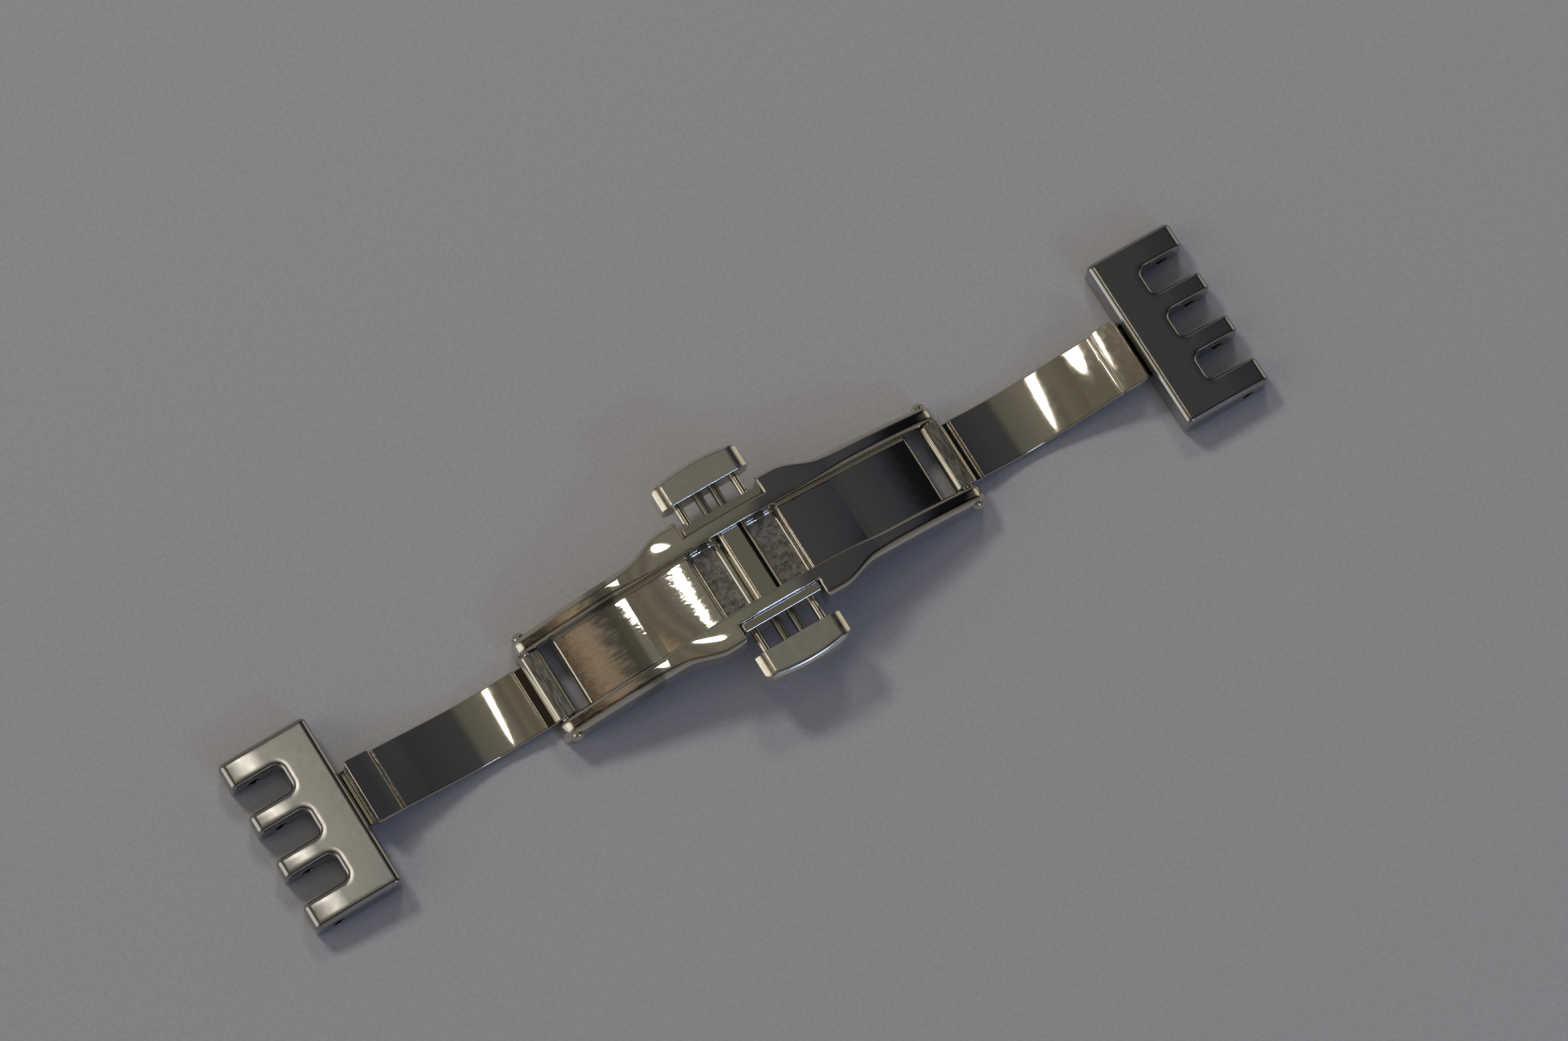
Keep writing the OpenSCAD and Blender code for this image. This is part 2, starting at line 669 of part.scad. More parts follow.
base_frame();
crossbar();
retainer_plate(false);  // retainer_plate_front
retainer_plate(true);  // retainer_plate_back
guide_posts(false);  // guide_posts_front
guide_posts(true);  // guide_posts_back
hinge_pin(true);  // hinge_pin_left
hinge_pin(false);  // hinge_pin_right
hinge_pin_head(true);  // hinge_pin_head_left
hinge_pin_head(false);  // hinge_pin_head_right
blade(true);  // blade_left
blade(false);  // blade_right
catch_block(true);  // catch_block_left
catch_block(false);  // catch_block_right
end_plate(true);  // end_plate_left
end_plate(false);  // end_plate_right
pivot_pin(true);  // pivot_pin_left
pivot_pin(false);  // pivot_pin_right
pusher_cap(false);  // pusher_cap_front
pusher_cap(true);  // pusher_cap_back
latch_slider(false);  // latch_slider_front
latch_slider(true);  // latch_slider_back
pusher_springs(false);  // pusher_springs_front
pusher_springs(true);  // pusher_springs_back
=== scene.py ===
import math

import bpy
import numpy as np
from mathutils import Matrix, Vector


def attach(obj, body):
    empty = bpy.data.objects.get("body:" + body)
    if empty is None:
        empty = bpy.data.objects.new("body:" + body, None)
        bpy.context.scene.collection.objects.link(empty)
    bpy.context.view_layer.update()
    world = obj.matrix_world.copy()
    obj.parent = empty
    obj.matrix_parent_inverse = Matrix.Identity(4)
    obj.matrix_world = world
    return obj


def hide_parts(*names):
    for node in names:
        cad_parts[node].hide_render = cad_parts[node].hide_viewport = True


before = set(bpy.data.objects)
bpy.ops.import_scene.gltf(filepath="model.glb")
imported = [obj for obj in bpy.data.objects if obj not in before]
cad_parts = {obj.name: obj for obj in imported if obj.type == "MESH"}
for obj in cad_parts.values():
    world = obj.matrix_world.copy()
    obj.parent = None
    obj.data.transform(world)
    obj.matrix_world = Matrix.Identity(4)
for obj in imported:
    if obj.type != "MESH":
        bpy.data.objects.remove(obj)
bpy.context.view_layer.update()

# Camera: a long lens that looks steeply down from the front left, as the clasp was photographed.
# It is aimed by the point 4.67 mm above the clasp's middle, which stands a little left of and
# below the picture's centre. Its distance is in metres.
MM = 0.001
PICTURE_W, PICTURE_H, PX_PER_METRE = 2361, 1568, 16400
AIM_PX_X, AIM_PX_Y, AIM_Z = 1129.8, 850, 4.67
AZIMUTH, ELEVATION, ROLL = math.radians(-41.2), math.radians(73.8), math.radians(10.1)
CAMERA_AWAY, SENSOR_W = 0.7, 36
back = Vector((math.sin(AZIMUTH) * math.cos(ELEVATION), -math.cos(AZIMUTH) * math.cos(ELEVATION),
               math.sin(ELEVATION)))
level = Vector((0, 0, 1)).cross(back).normalized()
rise = back.cross(level)
right = level * math.cos(ROLL) + rise * math.sin(ROLL)
up = rise * math.cos(ROLL) - level * math.sin(ROLL)
eye = Vector((0, 0, AIM_Z * MM)) + back * CAMERA_AWAY
camera = bpy.data.objects.new("camera", bpy.data.cameras.new("camera"))
bpy.context.scene.collection.objects.link(camera)
camera.matrix_world = Matrix([[right[i], up[i], back[i], eye[i]] for i in range(3)]
                             + [[0, 0, 0, 1]])
camera.data.sensor_fit = "HORIZONTAL"
camera.data.sensor_width = SENSOR_W
camera.data.lens = PX_PER_METRE * CAMERA_AWAY * SENSOR_W / PICTURE_W
camera.data.shift_x = (PICTURE_W / 2 - AIM_PX_X) / PICTURE_W
camera.data.shift_y = (AIM_PX_Y - PICTURE_H / 2) / PICTURE_W
camera.data.clip_start, camera.data.clip_end = 0.01, 10
bpy.context.scene.camera = camera

# Table: a flat board faced with pale melamine laminate, pressed with a fine tooth. The clasp
# lies loose on it. The board is one even grey, so that the steel and its shadow stand out.
TABLE_HALF = 1000


# Colour for a shader from an sRGB hex value
def linear(code):
    parts = [int(code[i:i + 2], 16) / 255 for i in (0, 2, 4)]
    return [c / 12.92 if c <= 0.04045 else ((c + 0.055) / 1.055) ** 2.4 for c in parts] + [1]


# Adds a node to a tree with its settings, and with a value or a link for each of its inputs,
# which are given by name, or as i0, i1 and so on by number
def node(tree, kind, settings={}, **inputs):
    made = tree.nodes.new("ShaderNode" + kind)
    for key, value in settings.items():
        setattr(made, key, value)
    for key, value in inputs.items():
        socket = made.inputs[int(key[1:]) if key[1:].isdigit() else key.replace("_", " ")]
        if isinstance(value, bpy.types.NodeSocket):
            tree.links.new(value, socket)
        else:
            socket.default_value = value
    return made


def new_material(name):
    material = bpy.data.materials.new(name)
    material.use_nodes = True
    tree = material.node_tree
    tree.nodes.clear()
    return material, tree


# Melamine laminate: a matt face with hardly any shine. Its tooth is about 0.1 mm wide and is
# drawn 0.4 mm wide, so that it shows as a very faint mottle.
laminate, tree = new_material("pale_laminate_board")
place = node(tree, "TexCoord").outputs["Object"]
tooth = node(tree, "TexNoise", Vector=place, Scale=1 / (0.4 * MM), Detail=3.0)
tone = node(tree, "ValToRGB", Fac=tooth.outputs["Fac"])
tone.color_ramp.elements[0].position = 0.3
tone.color_ramp.elements[1].position = 0.7
tone.color_ramp.elements[0].color = linear("afb0b4")
tone.color_ramp.elements[1].color = linear("b9babe")
grain = node(tree, "Bump", Height=tooth.outputs["Fac"], Strength=0.15, Distance=0.02 * MM)
shader = node(tree, "BsdfPrincipled", Base_Color=tone.outputs["Color"], Roughness=0.6,
              Normal=grain.outputs["Normal"])
node(tree, "OutputMaterial", Surface=shader.outputs[0])

corners = ((-1, -1), (1, -1), (1, 1), (-1, 1))
mesh = bpy.data.meshes.new("table")
mesh.from_pydata([(x * TABLE_HALF * MM, y * TABLE_HALF * MM, 0) for x, y in corners], [],
                 [(0, 1, 2, 3)])
mesh.materials.append(laminate)
table = bpy.data.objects.new("table", mesh)
bpy.context.scene.collection.objects.link(table)

# Room: the ceiling and walls around the table, out of the picture, which the polished steel
# reflects. Their tones lie in bands from -1 to 1 along X and Y. The steel has little colour of
# its own, so these bands are what its faces look like.
ROOM_LIGHT = 1.1
world = bpy.data.worlds.new("studio")
bpy.context.scene.world = world
world.use_nodes = True
tree = world.node_tree
tree.nodes.clear()
sky = node(tree, "SeparateXYZ", Vector=node(tree, "TexCoord").outputs["Generated"])


def room_band(direction, tones):
    place = node(tree, "MapRange", Value=sky.outputs[direction], From_Min=-1.0, From_Max=1.0)
    band = node(tree, "ValToRGB", Fac=place.outputs["Result"])
    ramp = band.color_ramp.elements
    ramp[0].color, ramp[-1].color = linear(tones[0][1]), linear(tones[-1][1])
    for at, code in tones[1:-1]:
        ramp.new((at + 1) / 2).color = linear(code)
    return band.outputs["Color"]


ceiling = room_band("X", (
    (-1, "ffffff"), (-0.75, "fff4e0"), (-0.62, "a89c88"), (-0.5, "2a251f"), (-0.38, "2a251f"),
    (-0.28, "a38d77"), (-0.2, "665e52"), (-0.165, "726e62"), (-0.135, "625e54"),
    (-0.09, "757268"), (0, "78756a"), (0.12, "6b6960"), (0.25, "64625a"), (0.31, "444446"),
    (0.44, "414143"), (0.54, "383a42"), (0.63, "16171a"), (0.74, "0e0f12"), (0.86, "8f8676"),
    (1, "e8dcc8")))
walls = room_band("Y", (
    (-1, "5c5c66"), (-0.45, "50505a"), (-0.1, "d8d8d8"), (0.05, "ffffff"), (0.45, "ffffff"),
    (0.7, "84828a"), (1, "6c6c74")))
low_walls = room_band("Y", (
    (-1, "77746e"), (-0.65, "5c5954"), (-0.45, "000000"), (0.6, "000000"), (0.85, "77746e"),
    (1, "77746e")))
room = node(tree, "Mix", {"data_type": "RGBA", "blend_type": "MULTIPLY"}, i0=1.0, i6=ceiling,
            i7=walls)
room = node(tree, "Mix", {"data_type": "RGBA", "blend_type": "ADD"}, i0=1.0,
            i6=room.outputs[2], i7=low_walls)
air = node(tree, "Background", Color=room.outputs[2], Strength=ROOM_LIGHT)
node(tree, "OutputWorld", Surface=air.outputs[0])

# Lamps: soft boxes 1.2 metres from the clasp. The long lamp and the cool lamp show in the steel.
# The key, fill and sky lamps are hidden from reflections, so that they light only the table.
# Their sizes are in metres.
LAMP_AWAY = 1.2


def lamp(name, toward, size, watts, tint, shape="RECTANGLE"):
    data = bpy.data.lights.new(name, "AREA")
    data.shape = shape
    data.size, data.size_y = size
    data.energy = watts
    data.color = linear(tint)[:3]
    obj = bpy.data.objects.new(name, data)
    bpy.context.scene.collection.objects.link(obj)
    way = Vector(toward).normalized()
    turned = way.to_track_quat("Z", "Y").to_matrix().to_4x4()
    obj.matrix_world = Matrix.Translation(way * LAMP_AWAY) @ turned
    return obj


lamp("long_lamp", (-0.068, 0.267, 0.961), (0.055, 0.28), 0.23, "fff6e8", "ELLIPSE")
lamp("key_lamp", (-0.18, 0.68, 0.7), (0.2, 0.2), 3.4, "fff8ec").visible_glossy = False
lamp("fill_lamp", (0.35, 0.6, 0.7), (0.2, 0.2), 1.5, "fff8ec").visible_glossy = False
lamp("sky_lamp", (0.1, -0.5, 0.86), (0.8, 0.8), 1.1, "b4c8ff").visible_glossy = False
lamp("cool_lamp", (0.18, -0.8, 0.5), (0.16, 0.12), 1.2, "a9c2ff")

# Base frame: one bar of stainless steel, milled to two rails with a channel between them. Two
# pockets take the catch blocks, and a notch in each side takes a pusher. All of it is polished
# to a mirror except the pocket floors, which are left bead blasted.
CROWN_Z, RAIL_END, END_ROUND, RAIL_CROWN_R = 6.8, 22.65, 1.0, 9
MID_R, MID_HALF, FLAT_X, OUTER_R, OUTER_LEN = 56, 10.7, 11.5, 44, 16
FLAT_SLOPE, OUTER_SLOPE = math.radians(8.5), math.radians(6)
MID_W, WAIST_X, WAIST_RUN, WAIST_IN = 6.6, 6, 4.4, 1.05
TAPER_X, TAPER_RUN, TAPER_IN = 10.4, 11.2, 0.2
OUTER_EDGE, INNER_EDGE, UNDER_EDGE = 0.4, 0.1, 0.12
BUFF_X, BUFF_RUN, BUFFED_OUTER, BUFFED_INNER = 7, 6, 0.4, 0.5
CHANNEL_W, CHANNEL_D, FLOOR_END, FLOOR_T, CUTTER_R, WALL_FOOT_R = 3.55, 1.6, 19.15, 1.1, 0.3, 0.25
HOLLOW_X, HOLLOW_RUN, HOLLOW_Y, HOLLOW_R = 6, 7, 1.6, 75
RELIEF_FROM_POCKET, RELIEF_FROM_END = 0.6, 0.4
BAR_HALF, POCKET_IN, POCKET_OUT, POCKET_D, POCKET_R = 1.3, 1.7, 4.65, 2.6, 0.5
NOTCH_HALF, NOTCH_Y, NOTCH_R, NOTCH_EDGE = 4.3, 4.8, 0.1, 0.2
UNDER_X, UNDER_Z = 20.9, 3.05
WAY_Z, WAY_TOP, WAY_HALF, WAY_Y = 3.44, 5.25, 0.36, 3.0
STEM_WAY_Z, STEM_WAY_HALF, STEM_WAY_Y = 4.24, 1.34, 1.1
HOOK_IN, HOOK_OUT, HOOK_TOP, HOOK_Y, CROSS_WAY_TOP = 2.54, 3.5, 5.51, 3.5, 3.91


# Meeting of two solids with its edge rounded to a radius r. A solid is given as the distance
# from its surface, negative inside.
def both(a, b, r):
    u, v = np.maximum(a + r, 0), np.maximum(b + r, 0)
    return np.minimum(np.maximum(a, b), -r) + np.sqrt(u * u + v * v)


# Union of two solids with a fillet of radius r where they meet
def either(a, b, r):
    u, v = np.maximum(r - a, 0), np.maximum(r - b, 0)
    return np.maximum(np.minimum(a, b), r) - np.sqrt(u * u + v * v)


# Distance outside the stretch from low to high
def span(t, low, high):
    return np.maximum(low - t, t - high)


# Smooth rise from 0 to 1
def ease(t):
    t = np.clip(t, 0, 1)
    return t * t * (3 - 2 * t)


# Outward direction of a solid's surface at each point
def outward(solid, points):
    step = 0.01
    return np.stack([solid(*(points + d).T) - solid(*(points - d).T) for d in step * np.eye(3)],
                    axis=1) / (2 * step)


# Skin of a solid: one point in each cell of a grid that its surface crosses, pulled onto the
# surface in a few steps, with the solid's own outward directions for a smooth polish
def skin(solid, low, high, cell):
    lines = [np.arange(a - 1.5 * cell, b + 2.5 * cell, cell) for a, b in zip(low, high)]
    field = solid(*np.meshgrid(*lines, indexing="ij"))
    steps = np.eye(3, dtype=int)
    total = np.zeros((*(np.array(field.shape) - 1), 3))
    count = np.zeros(total.shape[:3], int)
    rings = []
    for axis in range(3):
        near = field[tuple(slice(0, n - s) for n, s in zip(field.shape, steps[axis]))]
        far = field[tuple(slice(s, None) for s in steps[axis])]
        at = np.argwhere((near < 0) != (far < 0))
        a, b = near[tuple(at.T)], far[tuple(at.T)]
        crossing = at + steps[axis] * (a / (a - b))[:, None]
        j, k = steps[(axis + 1) % 3], steps[(axis + 2) % 3]
        ring = [at, at - j, at - j - k, at - k]
        for cells in ring:
            np.add.at(total, tuple(cells.T), crossing)
            np.add.at(count, tuple(cells.T), 1)
        rings.append((ring, a < 0))
    used = count > 0
    number = np.zeros(count.shape, int)
    number[used] = np.arange(used.sum())
    points = total[used] / count[used][:, None] * cell + [line[0] for line in lines]
    faces = []
    for ring, leaving in rings:
        face = np.stack([number[tuple(cells.T)] for cells in ring], axis=1)
        face[~leaving] = face[~leaving][:, ::-1]
        faces.append(face)
    pulls, longest_pull = 4, 0.4 * cell
    for _ in range(pulls):
        way = outward(solid, points)
        move = -solid(*points.T)[:, None] * way / np.maximum((way * way).sum(1), 0.1)[:, None]
        size = np.linalg.norm(move, axis=1)[:, None]
        points += move * np.minimum(1, longest_pull / np.maximum(size, 1e-9))
    way = outward(solid, points)
    way /= np.maximum(np.linalg.norm(way, axis=1), 1e-9)[:, None]
    return points, np.concatenate(faces), way


# Piece made from a skin, in place of a CAD node and on its body. Where it has two materials,
# pick says which faces take the second.
def piece(name, surface, materials, body, spin=np.eye(3), shift=(0, 0, 0), pick=None):
    points, faces, way = surface
    points, way = points @ spin.T + np.array(shift), way @ spin.T
    if np.linalg.det(spin) < 0:
        faces = faces[:, ::-1]
    mesh = bpy.data.meshes.new(name)
    mesh.from_pydata((points * MM).tolist(), [], faces.tolist())
    mesh.polygons.foreach_set("use_smooth", [True] * len(mesh.polygons))
    if pick is not None:
        mesh.polygons.foreach_set("material_index", pick(points[faces].mean(1)).astype(int))
    mesh.normals_split_custom_set_from_vertices(way.tolist())
    for material in materials:
        mesh.materials.append(material)
    obj = bpy.data.objects.new(name + "_piece", mesh)
    bpy.context.scene.collection.objects.link(obj)
    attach(obj, body)
    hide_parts(name)


# How far the rails' top has come down from the crown: a wide arc, a short flat and a closer arc
def rail_drop(x):
    d = np.abs(x)
    inner = np.minimum(d, MID_HALF)
    sine = math.sin(OUTER_SLOPE) + np.clip(d - FLAT_X, 0, OUTER_LEN) / OUTER_R
    return (MID_R - np.sqrt(MID_R ** 2 - inner ** 2)
            + np.clip(d - MID_HALF, 0, FLAT_X - MID_HALF) * math.tan(FLAT_SLOPE)
            + OUTER_R * (math.cos(OUTER_SLOPE) - np.sqrt(1 - sine ** 2)))


def half_width(x):
    d = np.abs(x)
    return (MID_W - WAIST_IN * ease((d - WAIST_X) / WAIST_RUN)
            - TAPER_IN * np.clip((d - TAPER_X) / TAPER_RUN, 0, 1))


# The pocket starts at the foot of the crossbar on the right, and a little beyond it on the left
def pocket_start(x):
    return np.where(x > 0, BAR_HALF, POCKET_IN)


# Ways for the two latch sliders under the crossbar, and windows in the walls for their hooks
def slider_ways(d, side, z):
    window = np.maximum(span(d, HOOK_IN, HOOK_OUT), span(z, WAY_Z, HOOK_TOP))
    window = np.maximum(window, HOOK_Y - side)
    cross = np.maximum(span(z, WAY_Z, CROSS_WAY_TOP), d - HOOK_OUT)
    web = np.maximum(span(z, WAY_Z, WAY_TOP), d - WAY_HALF)
    low = np.minimum(np.maximum(np.minimum(cross, web), WAY_Y - side), window)
    stems = np.minimum(np.maximum(d - STEM_WAY_HALF, STEM_WAY_Y - side), d - WAY_HALF)
    return np.minimum(low, np.maximum(span(z, STEM_WAY_Z, WAY_TOP), stems))


# The rails' edges get rounder towards the hinges, where the buffing wheel reached them better,
# and there the wheel has also hollowed the channel floor very slightly to the front. Under the
# floor, the bar is relieved between the rails.
def base_solid(x, y, z):
    d, side = np.abs(x), np.abs(y)
    top = CROWN_Z - rail_drop(x)
    buffed = ease((d - BUFF_X) / BUFF_RUN)
    crest = (CHANNEL_W + half_width(x)) / 2
    body = both(z - top + (side - crest) ** 2 / (2 * RAIL_CROWN_R), d - RAIL_END, END_ROUND)
    body = both(body, side - half_width(x), OUTER_EDGE + BUFFED_OUTER * buffed)
    arch = (UNDER_X ** 2 + UNDER_Z ** 2) / (2 * UNDER_Z)
    under = UNDER_Z - arch + np.sqrt(arch ** 2 - np.minimum(d, UNDER_X) ** 2)
    body = both(body, under - z, UNDER_EDGE)
    hollow = ease((d - HOLLOW_X) / HOLLOW_RUN) * (y - HOLLOW_Y) ** 2 / (2 * HOLLOW_R)
    channel = either(top - CHANNEL_D - hollow - z, FLOOR_END - d, CUTTER_R)
    pocket = both(span(d, pocket_start(x), POCKET_OUT), CROWN_Z - POCKET_D - z, POCKET_R)
    channel = both(either(channel, pocket, CUTTER_R), side - CHANNEL_W, WALL_FOOT_R)
    body = both(body, -channel, INNER_EDGE + BUFFED_INNER * buffed)
    relief = both(span(d, POCKET_OUT + RELIEF_FROM_POCKET, FLOOR_END - RELIEF_FROM_END),
                  z - top + CHANNEL_D + FLOOR_T, CUTTER_R)
    body = both(body, -both(relief, side - CHANNEL_W, CUTTER_R), INNER_EDGE)
    body = both(body, -both(d - NOTCH_HALF, NOTCH_Y - side, NOTCH_R), NOTCH_EDGE)
    return np.maximum(body, -slider_ways(d, side, z))


# Stainless steel, finished on a buffing wheel. To the eye it is a mirror: what shows on it is
# the room, slightly softened by the wheel's waves, about 2 mm long, and by clouds of haze.
# Roughness goes from rough to rough + haze, and wave is the height of the waves.
# For the left end, the material keeps a brushed face. Its lines run along the clasp, about
# 0.05 mm apart, and are drawn 0.2 mm apart, so that they show. They end in a ragged border.
# Next to that border, from x = -12.6 mm outward, the steel's colour is halved. This is painted
# shade that stands in for a dark reflection there. The channel floor keeps the cutter's marks
# under its polish, about 0.1 mm apart and drawn 0.5 mm apart for the same reason.
WAVE_LONG, HAZE_WIDE, LINE_GAP, MARK_GAP, MARKED_HALF = 2.2, 0.7, 0.2, 0.5, 3.4
TUFT_WIDE, TUFT_LONG, RAGGED_FROM, RAGGED_TO = 0.35, 5, -11.4, -13.1
# Where the painted shade on the left end is full and where it has faded out, in mm
PAINTED_SHADE_FROM, PAINTED_SHADE_TO = -12.6, -12.2


def steel_finish(name, hex_code, rough, wave, haze, brushed_and_shaded_end=False):
    material, tree = new_material(name)
    place = node(tree, "TexCoord").outputs["Object"]
    waves = node(tree, "TexNoise", Vector=place, Scale=1 / (WAVE_LONG * MM), Detail=2.0)
    cloud = node(tree, "TexNoise", Vector=place, Scale=1 / (HAZE_WIDE * MM), Detail=5.0)
    gloss = node(tree, "MapRange", Value=cloud.outputs["Fac"], From_Min=0.3, From_Max=0.75,
                 To_Min=rough, To_Max=rough + haze).outputs["Result"]
    steel = linear(hex_code)
    tone = node(tree, "ValToRGB", Fac=cloud.outputs["Fac"])
    tone.color_ramp.elements[0].color = [c * 0.96 for c in steel[:3]] + [1]
    tone.color_ramp.elements[1].color = steel
    colour = tone.outputs["Color"]
    normal = node(tree, "Bump", Height=waves.outputs["Fac"], Strength=1.0,
                  Distance=wave * MM).outputs["Normal"]
    if brushed_and_shaded_end:
        where = node(tree, "SeparateXYZ", Vector=place)
        long = node(tree, "Mapping", Vector=place, Scale=(0.03, 1.0, 1.0)).outputs["Vector"]
        lines = node(tree, "TexNoise", Vector=long, Scale=1 / (LINE_GAP * MM), Detail=3.0)
        wide = node(tree, "Mapping", Vector=place, Scale=(0.08, 1.0, 1.0)).outputs["Vector"]
        tufts = node(tree, "TexNoise", Vector=wide, Scale=1 / (TUFT_WIDE * MM), Detail=2.0)
        ragged = node(tree, "Math", {"operation": "MULTIPLY_ADD"}, i0=tufts.outputs["Fac"],
                      i1=TUFT_LONG * MM, i2=where.outputs["X"])
        brushed = node(tree, "MapRange", Value=ragged.outputs[0], From_Min=RAGGED_FROM * MM,
                       From_Max=RAGGED_TO * MM).outputs["Result"]
        rougher = node(tree, "MapRange", Value=lines.outputs["Fac"], From_Min=0.3, From_Max=0.7,
                       To_Min=0.1, To_Max=0.22).outputs["Result"]
        gloss = node(tree, "Mix", {"data_type": "FLOAT"}, i0=brushed, i2=gloss,
                     i3=rougher).outputs["Result"]
        # Painted shade: the colour is halved left of x = -12.6 mm until the brushed face takes
        # over, in place of a dark reflection
        past_painted_shade = node(tree, "MapRange", Value=where.outputs["X"], From_Min=PAINTED_SHADE_FROM * MM,
                      From_Max=PAINTED_SHADE_TO * MM).outputs["Result"]
        free_of_painted_shade = node(tree, "Math", {"operation": "MAXIMUM"}, i0=past_painted_shade, i1=brushed)
        colour = node(tree, "Mix", {"data_type": "RGBA"}, i0=free_of_painted_shade.outputs[0],
                      i6=[c * 0.5 for c in steel[:3]] + [1], i7=colour).outputs[2]
        short = node(tree, "Mapping", Vector=place, Scale=(0.3, 1.0, 1.0)).outputs["Vector"]
        marks = node(tree, "TexNoise", Vector=short, Scale=1 / (MARK_GAP * MM), Detail=2.0)
        across = node(tree, "Math", {"operation": "ABSOLUTE"}, i0=where.outputs["Y"])
        floor = node(tree, "Math", {"operation": "LESS_THAN"}, i0=across.outputs[0],
                     i1=MARKED_HALF * MM)
        marks = node(tree, "Math", {"operation": "MULTIPLY"}, i0=marks.outputs["Fac"],
                     i1=floor.outputs[0])
        normal = node(tree, "Bump", Height=marks.outputs[0], Strength=1.0, Distance=0.01 * MM,
                      Normal=normal).outputs["Normal"]
        height = node(tree, "Math", {"operation": "SUBTRACT"}, i0=lines.outputs["Fac"], i1=0.5)
        height = node(tree, "Math", {"operation": "MULTIPLY"}, i0=height.outputs[0], i1=brushed)
        normal = node(tree, "Bump", Height=height.outputs[0], Strength=1.0,
                      Distance=0.012 * MM, Normal=normal).outputs["Normal"]
    shader = node(tree, "BsdfPrincipled", Base_Color=colour, Metallic=1.0, Roughness=gloss,
                  Normal=normal)
    node(tree, "OutputMaterial", Surface=shader.outputs[0])
    return material


base_steel = steel_finish("mirror_and_brushed_steel", "d8d4ca", 0.03, 0.0005, 0.02, True)

# Bead-blasted steel: a dry, pale and mottled face that reflects no shapes. The beads' pits are
# about 0.1 mm wide and are drawn 0.5 mm wide, so that they show.
blasted, tree = new_material("bead_blasted_steel")
place = node(tree, "TexCoord").outputs["Object"]
dents = node(tree, "TexNoise", Vector=place, Scale=1 / (0.5 * MM), Detail=6.0, Roughness=0.75)
tone = node(tree, "ValToRGB", Fac=dents.outputs["Fac"])
tone.color_ramp.elements[0].position = 0.35
tone.color_ramp.elements[1].position = 0.65
tone.color_ramp.elements[0].color = linear("85827c")
tone.color_ramp.elements[1].color = linear("f2f1ed")
pits = node(tree, "Bump", Height=dents.outputs["Fac"], Strength=1.0, Distance=0.06 * MM)
shader = node(tree, "BsdfPrincipled", Base_Color=tone.outputs["Color"], Metallic=1.0,
              Roughness=0.5, Normal=pits.outputs["Normal"])
node(tree, "OutputMaterial", Surface=shader.outputs[0])


# The blasted faces are the pocket floors up to where their corners begin to round
def in_pocket(p):
    d, corner, flat = np.abs(p[:, 0]), 0.4, 0.12
    return ((d > pocket_start(p[:, 0]) + corner) & (d < POCKET_OUT - corner)
            & (np.abs(p[:, 1]) < CHANNEL_W - 0.2)
            & (np.abs(p[:, 2] - CROWN_Z + POCKET_D) < flat))


base = skin(base_solid, (-RAIL_END, -MID_W, 0), (RAIL_END, MID_W, CROWN_Z), 0.11)
piece("base_frame", base, [base_steel, blasted], "base", pick=in_pocket)

# Crossbar: a solid steel ridge across the channel, pressed in between the two pockets. It covers
# the latch sliders, and the catch blocks close against its flanks. The left flank leans, and the
# right edge has a narrow bevel of 18 degrees, so that each shows a line of its own.
BAR_DROP, BAR_EDGE, BEVEL_X, BEVEL_SIN, BEVEL_COS = 0.8, 0.2, 0.7, 0.309, 0.951
FLANK_X, FLANK_LEAN, FLANK_DEEP, FLANK_COS = 1.25, 0.6, 0.75, 0.86


def crossbar_solid(x, y, z):
    lean = FLANK_LEAN * np.clip(CROWN_Z - BAR_DROP - z, 0, FLANK_DEEP)
    flank = (-x - FLANK_X - lean) * FLANK_COS
    bevel = BEVEL_SIN * (x - BEVEL_X) + BEVEL_COS * (z - CROWN_Z + BAR_DROP)
    ridge = both(np.maximum(flank, x - BAR_HALF),
                 np.maximum(bevel, z - CROWN_Z + BAR_DROP), BAR_EDGE)
    return both(both(ridge, np.abs(y) - CHANNEL_W, 0.03), CROWN_Z - CHANNEL_D - z, 0.02)


# Mirror-polished steel: buffed like the base frame, but a little darker and hazier. It reflects
# the room with slightly soft edges.
mirror = steel_finish("mirror_polished_steel", "cfcabf", 0.04, 0.0005, 0.03)
piece("crossbar", skin(crossbar_solid, (-1.7, -3.55, 5.2), (1.7, 3.55, 6.0), 0.06),
      [mirror], "base")

# Retainer plates and guide posts: a flat steel plate is pressed into each side notch and keeps
# the sliders in. Two turned steel posts stand in it to guide the cap, and two bores let the
# slider's stems pass. Everything is mirror polished like the frame.
STEM_X, POST_X, STEM_Z, STEM_R, RUNNING_GAP = 0.83, 3.02, 4.75, 0.45, 0.04
RETAINER_HALF, RETAINER_LOW, RETAINER_TOP, RETAINER_OUT = 4.1, 3.35, 6.45, 5.76
POST_OUT = 9
TURN_Z = np.diag([-1, -1, 1])
SIDES = (("front", np.eye(3)), ("back", TURN_Z))


def round_bar(a, b, r):
    return np.sqrt(a * a + b * b) - r


def retainer_solid(x, y, z):
    d = np.abs(x)
    plate = both(both(d - RETAINER_HALF, span(z, RETAINER_LOW, RETAINER_TOP), 0.15),
                 span(y, -RETAINER_OUT, -NOTCH_Y), 0.2)
    holes = np.minimum(round_bar(d - STEM_X, z - STEM_Z, STEM_R + RUNNING_GAP),
                       round_bar(d - POST_X, z - STEM_Z, STEM_R))
    return both(plate, -holes, 0.04)


def post_solid(x, y, z):
    return both(round_bar(np.abs(x) - POST_X, z - STEM_Z, STEM_R), span(y, -POST_OUT, -NOTCH_Y),
                0.08)


retainer = skin(retainer_solid, (-4.1, -5.76, 3.35), (4.1, -4.8, 6.45), 0.07)
posts = skin(post_solid, (-3.5, -9, 4.3), (3.5, -4.8, 5.2), 0.06)
for where, spin in SIDES:
    piece("retainer_plate_" + where, retainer, [mirror], "base", spin)
    piece("guide_posts_" + where, posts, [mirror], "base", spin)

